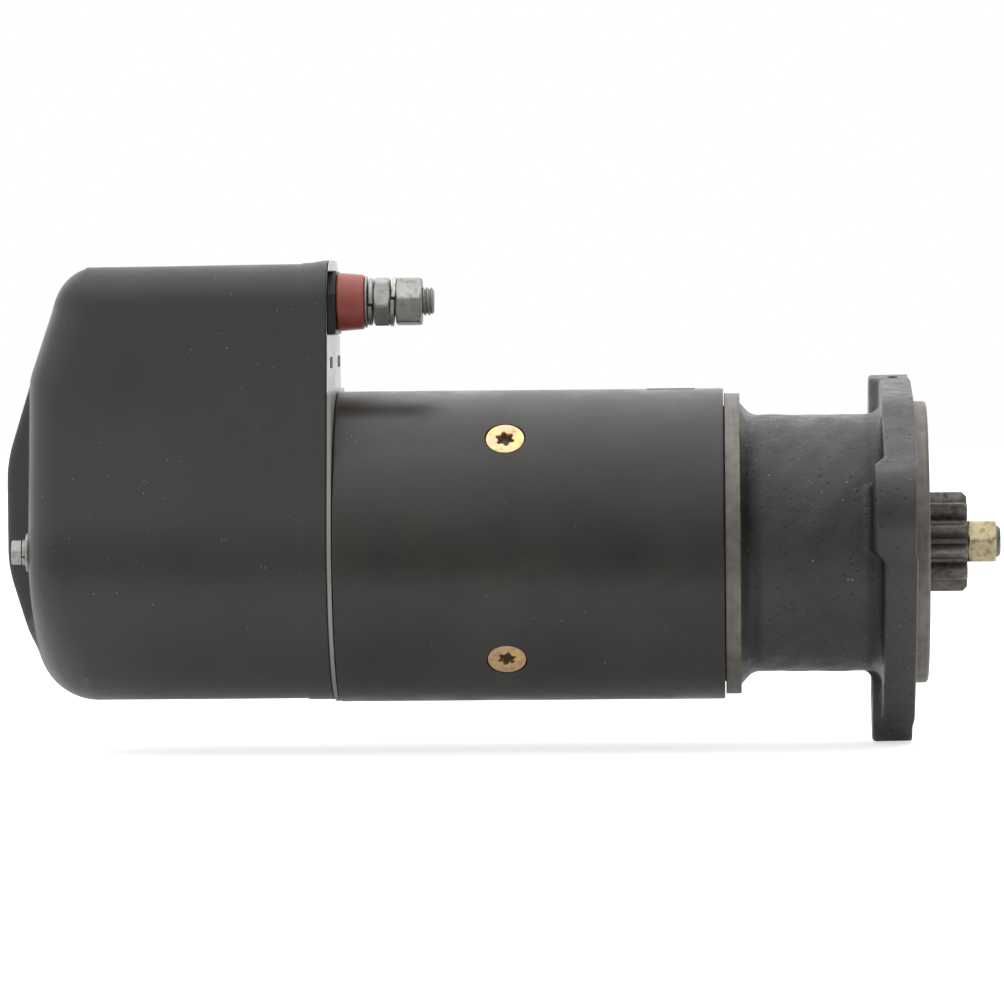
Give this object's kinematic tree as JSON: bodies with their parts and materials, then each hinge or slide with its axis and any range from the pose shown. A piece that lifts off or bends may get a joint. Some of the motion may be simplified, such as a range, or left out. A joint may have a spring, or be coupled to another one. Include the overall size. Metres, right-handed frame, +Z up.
{
  "type": "starter motor",
  "caption": "Heavy-duty coaxial starter motor: cylindrical field frame, flanged drive end with sliding pinion, and a rear cover over the solenoid and control relay.",
  "frame": {"origin": "centre of the mounting flange's face, on the motor axis", "axes": "+X along the motor axis from the rear cover towards the pinion; +Z up, through the main terminal; +Y towards the far side"},
  "size_m": [0.4138, 0.1516, 0.2042],
  "materials": {
    "painted_cast_iron": "rough casting under glossy black paint, with bare machined rim and pilot",
    "frame_paint": "semi-gloss black paint on a rolled steel tube",
    "cover_paint": "semi-gloss dark grey paint on pressed sheet steel",
    "cast_aluminium": "die-cast, bare",
    "clear_zinc": "bright zinc plate, lightly worn",
    "yellow_zinc": "yellow passivated zinc plate",
    "oiled_steel": "machined steel with a film of oil",
    "pinion_steel": "hardened steel, dark and oily, lighter on the tooth tips",
    "laminations": "stacked electrical steel sheets",
    "copper": "bare and varnished copper",
    "bearing_bronze": "sintered bronze",
    "carbon": "pressed copper-graphite",
    "red_plastic": "moulded phenolic, satin",
    "black_plastic": "moulded phenolic, satin",
    "seal_rubber": "nitrile rubber",
    "label": "blank pale foil label"
  },
  "bodies": {
    "housing": {"drive_end_housing": "painted_cast_iron", "drive_end_bearing": "bearing_bronze", "shaft_seal": "seal_rubber", "field_frame": "frame_paint", "field_winding": "copper", "pole_shoe_1": "oiled_steel", "pole_shoe_2": "oiled_steel", "pole_shoe_3": "oiled_steel", "pole_shoe_4": "oiled_steel", "pole_screw_1": "yellow_zinc", "pole_screw_2": "yellow_zinc", "pole_screw_3": "yellow_zinc", "pole_screw_4": "yellow_zinc", "through_bolt_1": "clear_zinc", "through_bolt_2": "clear_zinc", "rating_plate": "label", "brush_plate": "clear_zinc", "brush_spring_1": "oiled_steel", "brush_spring_2": "oiled_steel", "brush_spring_3": "oiled_steel", "brush_spring_4": "oiled_steel", "commutator_end_shield": "cast_aluminium", "commutator_end_bush": "bearing_bronze", "terminal_plate": "black_plastic", "terminal_insulator": "red_plastic", "terminal_stud": "clear_zinc", "terminal_washer": "clear_zinc", "terminal_spring_washer": "clear_zinc", "terminal_jam_nut": "clear_zinc", "terminal_lug_washer": "yellow_zinc", "terminal_outer_nut": "clear_zinc", "control_terminal_insulator": "red_plastic", "control_terminal_stud": "clear_zinc", "control_terminal_nut": "clear_zinc", "solenoid_case": "oiled_steel", "solenoid_coil": "copper", "return_spring": "oiled_steel", "relay_case": "oiled_steel", "relay_coil": "copper", "fixed_contact_1": "copper", "fixed_contact_2": "copper", "rear_cover": "cover_paint", "cover_gasket": "seal_rubber", "cover_screw_1": "clear_zinc", "cover_screw_2": "clear_zinc"},
    "armature": {"armature_shaft": "oiled_steel", "armature_core": "laminations", "armature_winding": "copper", "commutator": "copper", "clutch_drum": "oiled_steel"},
    "engagement": {"solenoid_plunger": "oiled_steel", "engagement_rod": "oiled_steel"},
    "drive": {"drive_spindle": "oiled_steel", "pinion": "pinion_steel", "pinion_nut": "yellow_zinc"},
    "relay_armature": {"relay_plunger": "oiled_steel"},
    "brush_upper_far": {"brush_1": "carbon"},
    "brush_upper_near": {"brush_2": "carbon"},
    "brush_lower_near": {"brush_3": "carbon"},
    "brush_lower_far": {"brush_4": "carbon"}
  },
  "joints": [
    {"name": "armature_spin", "type": "hinge", "parent": "housing", "child": "armature", "pos_m": [0, 0, 0], "axis": [1, 0, 0], "continuous": true},
    {"name": "engage_slide", "type": "slide", "parent": "housing", "child": "engagement", "axis": [1, 0, 0], "range_m": [0, 0.022], "stiffness_N_per_m": 900, "springref_m": -0.012, "deforming": ["return_spring"]},
    {"name": "pinion_spin", "type": "hinge", "parent": "engagement", "child": "drive", "pos_m": [0, 0, 0], "axis": [1, 0, 0], "continuous": true},
    {"name": "relay_slide", "type": "slide", "parent": "housing", "child": "relay_armature", "axis": [1, 0, 0], "range_m": [0, 0.0025], "stiffness_N_per_m": 1500, "springref_m": -0.003},
    {"name": "brush_lift_1", "type": "slide", "parent": "housing", "child": "brush_upper_far", "axis": [0, 0.7071, 0.7071], "range_m": [0, 0.004], "stiffness_N_per_m": 1000, "springref_m": -0.01, "deforming": ["brush_spring_1"]},
    {"name": "brush_lift_2", "type": "slide", "parent": "housing", "child": "brush_upper_near", "axis": [0, -0.7071, 0.7071], "range_m": [0, 0.004], "stiffness_N_per_m": 1000, "springref_m": -0.01, "deforming": ["brush_spring_2"]},
    {"name": "brush_lift_3", "type": "slide", "parent": "housing", "child": "brush_lower_near", "axis": [0, -0.7071, -0.7071], "range_m": [0, 0.004], "stiffness_N_per_m": 1000, "springref_m": -0.01, "deforming": ["brush_spring_3"]},
    {"name": "brush_lift_4", "type": "slide", "parent": "housing", "child": "brush_lower_far", "axis": [0, 0.7071, -0.7071], "range_m": [0, 0.004], "stiffness_N_per_m": 1000, "springref_m": -0.01, "deforming": ["brush_spring_4"]}
  ],
  "couplings": [
    {"joint": "pinion_spin", "follows": "armature_spin", "ratio": 1}
  ]
}
